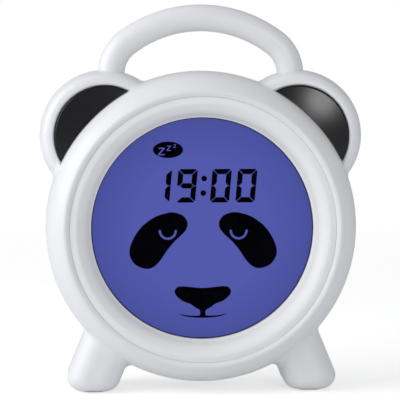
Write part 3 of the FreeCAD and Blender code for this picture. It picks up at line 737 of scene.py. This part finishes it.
def makeSprings():
    # wide end on the contact plate, narrow end against the cell; the middle cell stands the other way up
    look, tree = springLook, makeSpringTree()
    sizes = {"Turns": look["turns"], "Height": look["height"] * mm, "Wire Radius": look["wire"] * mm}
    lower = dict(sizes, **{"Start Radius": look["wide"] * mm, "End Radius": look["narrow"] * mm})
    upper = dict(sizes, **{"Start Radius": look["narrow"] * mm, "End Radius": look["wide"] * mm})
    pair = pointMesh("lowSpots", [(side * look["pitch"], look["y"], look["low"]) for side in (-1, 1)])
    single = pointMesh("highSpot", [(0, look["y"], look["high"])])
    grown = [growMesh("lowCoils", pair, tree, lower), growMesh("highCoil", single, tree, upper)]
    whole = joined("battery_coils", grown)
    coils = newPiece("battery_coils", whole, finishes["steelPlated"])
    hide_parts("battery_springs")


makeKeySigns()
makeCaseScrews()
makeDoorScrew()
makeSprings()
print("back of the clock made")


cameraLook = {"azimuth": -3.2, "elevation": 4.7, "distance": .75, "lens": 145, "aim": (-.0004, 0, .088)}


def makeCamera():
    data = bpy.data.cameras.new("camera")
    data.lens, data.sensor_width = cameraLook["lens"], 36
    camera = bpy.data.objects.new("camera", data)
    bpy.context.scene.collection.objects.link(camera)
    a, e = math.radians(cameraLook["azimuth"]), math.radians(cameraLook["elevation"])
    back = Vector((math.sin(a) * math.cos(e), -math.cos(a) * math.cos(e), math.sin(e)))
    camera.location = Vector(cameraLook["aim"]) + back * cameraLook["distance"]
    camera.rotation_euler = (-back).to_track_quat("-Z", "Y").to_euler()
    bpy.context.scene.camera = camera


floorLook = {
    "size": 6,
    "near": .35,         # metres from the clock where the table starts to fade out
    "far": .8,
    "lift": .53,         # its own glow as the camera sees it, and as the clock is lit by it
    "bounce": .12,
    "finish": {"Base Color": (.72, .72, .72, 1), "Roughness": .6, "Specular IOR Level": .2,
               "Emission Color": (1, 1, 1, 1)},
}


def makeFloor():
    # pale table that fades into the white backdrop behind the clock
    mesh = bpy.data.meshes.new("floor")
    work = bmesh.new()
    bmesh.ops.create_grid(work, x_segments=8, y_segments=8, size=floorLook["size"])
    work.to_mesh(mesh)
    work.free()
    floor = bpy.data.objects.new("floor", mesh)
    bpy.context.scene.collection.objects.link(floor)
    material, tree, shader = plainMaterial("floorPale", floorLook["finish"])
    cameraRay = addNode(tree, "LightPath").outputs["Is Camera Ray"]
    glow = spread(tree, cameraRay, 0, 1, floorLook["bounce"], floorLook["lift"])
    tree.links.new(glow, shader.inputs["Emission Strength"])
    reach = addNode(tree, "VectorMath", {"operation": "LENGTH"})
    tree.links.new(addNode(tree, "TexCoord").outputs["Object"], reach.inputs[0])
    fade = spread(tree, reach.outputs["Value"], floorLook["near"], floorLook["far"], 0, 1)
    seen = addNode(tree, "Math", {"operation": "MULTIPLY"})
    tree.links.new(fade, seen.inputs[0])
    tree.links.new(cameraRay, seen.inputs[1])
    white = addNode(tree, "Emission", Color=(1, 1, 1, 1), Strength=1.0)
    blend = addNode(tree, "MixShader")
    tree.links.new(seen.outputs[0], blend.inputs[0])
    tree.links.new(shader.outputs[0], blend.inputs[1])
    tree.links.new(white.outputs[0], blend.inputs[2])
    tree.links.new(blend.outputs[0], tree.nodes["Material Output"].inputs["Surface"])
    mesh.materials.append(material)


lampLook = {     # the soft box is only mirrored, it lights nothing
    "keyLight": {"spot": (-1.15, -.3, .62), "aim": (0, 0, .08), "size": 1.2, "power": 12, "spill": 1},
    "topLight": {"spot": (-.15, -.1, 1.2), "aim": (0, 0, .1), "size": .5, "power": .4, "spill": 1},
    "softBox": {"spot": (.31, -.852, .338), "aim": (.05, 0, .13), "size": .22, "power": 1.45, "spill": 0},
}


def makeLamp(name, spot, aim, size, power, spill):
    data = bpy.data.lights.new(name, "AREA")
    data.shape, data.size, data.energy, data.diffuse_factor = "DISK", size, power, spill
    lamp = bpy.data.objects.new(name, data)
    bpy.context.scene.collection.objects.link(lamp)
    lamp.location = spot
    lamp.rotation_euler = (Vector(aim) - Vector(spot)).to_track_quat("-Z", "Y").to_euler()


roomLook = {"fill": .415, "backdrop": 1.0, "tint": (.97, .98, 1, 1)}


def makeRoom():
    world = bpy.data.worlds.new("room")
    bpy.context.scene.world = world
    world.use_nodes = True
    tree = world.node_tree
    fill = tree.nodes["Background"]
    fill.inputs["Color"].default_value = roomLook["tint"]
    fill.inputs["Strength"].default_value = roomLook["fill"]
    backdrop = addNode(tree, "Background", Color=(1, 1, 1, 1), Strength=roomLook["backdrop"])
    choose = addNode(tree, "MixShader")
    tree.links.new(addNode(tree, "LightPath").outputs["Is Camera Ray"], choose.inputs[0])
    tree.links.new(fill.outputs[0], choose.inputs[1])
    tree.links.new(backdrop.outputs[0], choose.inputs[2])
    tree.links.new(choose.outputs[0], tree.nodes["World Output"].inputs["Surface"])


makeCamera()
makeFloor()
makeRoom()
for name, look in lampLook.items():
    makeLamp(name, **look)
bpy.context.scene.view_settings.view_transform = "Standard"
print("camera, floor and light set")
